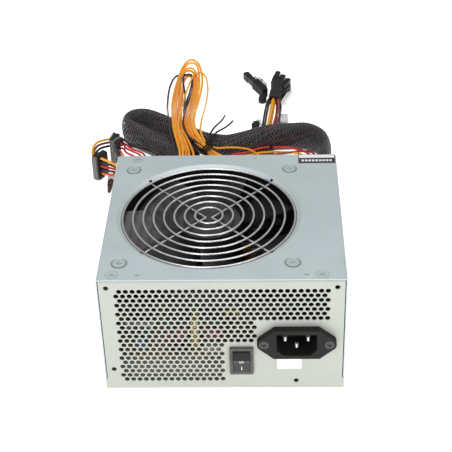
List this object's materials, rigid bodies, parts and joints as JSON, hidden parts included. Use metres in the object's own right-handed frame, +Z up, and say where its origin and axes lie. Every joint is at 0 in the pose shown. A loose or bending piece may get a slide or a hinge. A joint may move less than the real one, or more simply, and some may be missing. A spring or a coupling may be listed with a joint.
{
  "type": "power supply unit",
  "caption": "Computer power supply in a grey steel case with a top fan under a wire grille, a mains inlet, a rocker switch and its output cables lying behind it.",
  "frame": {"origin": "bottom centre of the unit without its cables", "axes": "+Z up through the fan, +X left to right along the perforated panel, -Y out of the perforated panel"},
  "size_m": [0.195, 0.4507, 0.0862],
  "materials": {
    "bare_steel": "light zinc-plated sheet",
    "cover_steel": "satin light grey sheet",
    "wire_steel": "satin nickel plated",
    "heatsink_alloy": "satin",
    "fan_plastic": "moulded",
    "dark_plastic": "moulded",
    "ferrite": "sintered",
    "brass": "turned",
    "copper": "enamelled wire",
    "board": "phenolic laminate",
    "green_board": "glass laminate",
    "insulating_film": "film",
    "label": "printed film",
    "white_plastic": "moulded nylon",
    "coating": "dipped coating",
    "tape": "polyester tape",
    "wire_jacket": "PVC insulation",
    "sleeve": "braided mesh over wires"
  },
  "bodies": {
    "case": {"base_tray": "bare_steel", "rear_panel": "bare_steel", "cable_wall": "bare_steel", "top_cover": "cover_steel", "cover_screws": "cover_steel", "fan_grille": "wire_steel", "fan_screws": "wire_steel", "fan_frame": "fan_plastic", "fan_bearing": "brass", "fan_stator": "copper", "fan_circuit_board": "green_board", "fan_leads": "wire_jacket", "inlet_housing": "dark_plastic", "inlet_pins": "wire_steel", "inlet_screws": "wire_steel", "switch_bezel": "dark_plastic", "switch_terminals": "brass", "mains_leads": "wire_jacket", "earth_lead": "wire_jacket", "voltage_label": "label", "badge_label": "label", "circuit_board": "board", "board_standoffs": "brass", "board_screws": "wire_steel", "insulating_sheet": "insulating_film", "fan_header": "white_plastic", "filter_core": "ferrite", "filter_windings": "copper", "x_capacitor": "coating", "y_capacitors": "coating", "fuse": "white_plastic", "bridge_rectifier": "dark_plastic", "bulk_capacitors": "heatsink_alloy", "primary_heatsink": "heatsink_alloy", "secondary_heatsink": "heatsink_alloy", "power_transistors": "dark_plastic", "transformer_core": "ferrite", "transformer_winding": "tape", "standby_transformer": "tape", "control_board": "green_board", "output_choke": "copper", "output_capacitors": "heatsink_alloy", "output_leads": "wire_jacket", "cable_grommet": "dark_plastic", "main_cable": "sleeve", "main_connector": "white_plastic", "twist_tie": "dark_plastic", "loop_cable": "wire_jacket", "processor_connector": "dark_plastic", "drive_cable": "wire_jacket", "drive_connectors": "dark_plastic", "small_plug": "white_plastic", "peripheral_cable": "wire_jacket", "lever_plug": "dark_plastic", "fanned_plugs": "dark_plastic", "socket_plugs": "white_plastic"},
    "rotor": {"fan_rotor": "fan_plastic", "fan_magnet_ring": "ferrite", "fan_shaft": "wire_steel"},
    "rocker": {"switch_rocker": "dark_plastic"}
  },
  "joints": [
    {"name": "fan_spin", "type": "hinge", "parent": "case", "child": "rotor", "pos_m": [-0.0097, 0.00103, 0.0701], "axis": [0, 0, 1], "continuous": true},
    {"name": "rocker_tilt", "type": "hinge", "parent": "case", "child": "rocker", "pos_m": [0.011, -0.06481, 0.0234], "axis": [-1, 0, 0], "range_deg": [0, 32]}
  ]
}
